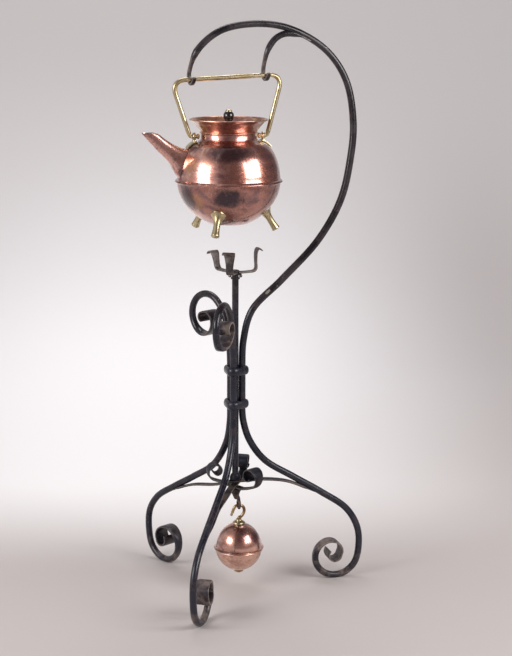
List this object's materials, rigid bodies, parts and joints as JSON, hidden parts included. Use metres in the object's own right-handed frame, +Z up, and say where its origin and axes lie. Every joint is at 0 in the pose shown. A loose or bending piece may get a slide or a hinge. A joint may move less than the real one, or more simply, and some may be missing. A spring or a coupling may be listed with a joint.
{
  "type": "kettle on stand",
  "caption": "Footed copper kettle hung by its brass handle from the hooks of a scrolled wrought iron floor stand, with a hanging copper ball.",
  "frame": {"origin": "centre of the bounding box's base, on the floor between the three feet", "axes": "+Z up; +X along the right leg, in the plane of the crook that carries the kettle; +Y to the back"},
  "size_m": [0.3451, 0.3529, 0.8538],
  "materials": {
    "black_iron": "wrought iron, blue-black gloss paint, chipped at edges",
    "bare_iron": "wrought iron worn bare, grey-brown, dull",
    "copper": "copper, polished, with mottled brown and mauve tarnish",
    "brass": "cast and drawn brass, worn satin",
    "ebony": "turned black hardwood, gloss"
  },
  "bodies": {
    "stand": {"crook_rod": "black_iron", "branch_hook": "black_iron", "stem": "black_iron", "upper_collar": "black_iron", "lower_collar": "black_iron", "stem_capital": "black_iron", "trivet_rivet": "bare_iron", "hub_dome": "black_iron", "hub_finial": "bare_iron", "left_rod": "black_iron", "front_rod": "black_iron", "trivet_prong_right": "bare_iron", "trivet_prong_left": "bare_iron", "trivet_prong_front": "bare_iron", "brace_right": "bare_iron", "brace_left": "bare_iron", "brace_front": "bare_iron"},
    "handle": {"bail_handle": "brass"},
    "kettle": {"kettle_upper_shell": "copper", "kettle_lower_shell": "copper", "mouth_funnel": "copper", "spout": "copper", "ear_left": "brass", "ear_right": "brass", "kettle_foot_right": "brass", "kettle_foot_left": "brass", "kettle_foot_front": "brass"},
    "lid": {"lid_plate": "copper", "lid_knob": "ebony", "knob_cap": "brass", "knob_screw": "brass"},
    "ball": {"ball_hook": "brass", "ball_cap": "brass", "ball_upper_half": "copper", "ball_lower_half": "copper", "ball_tie_rod": "bare_iron", "ball_nut": "brass"}
  },
  "joints": [
    {"name": "kettle_lift", "type": "slide", "parent": "stand", "child": "handle", "axis": [0, -0.5736, 0.8192], "range_m": [0, 0.3]},
    {"name": "handle_hinge", "type": "hinge", "parent": "handle", "child": "kettle", "pos_m": [-0.04175, -0.0015, 0.689], "axis": [1, 0, 0], "range_deg": [-90, 90]},
    {"name": "lid_lift", "type": "slide", "parent": "kettle", "child": "lid", "axis": [0, -0.6, 0.8], "range_m": [0, 0.12]},
    {"name": "ball_swing", "type": "hinge", "parent": "stand", "child": "ball", "pos_m": [-0.02625, -0.0015, 0.125], "axis": [0, 1, 0], "range_deg": [-25, 25]}
  ]
}
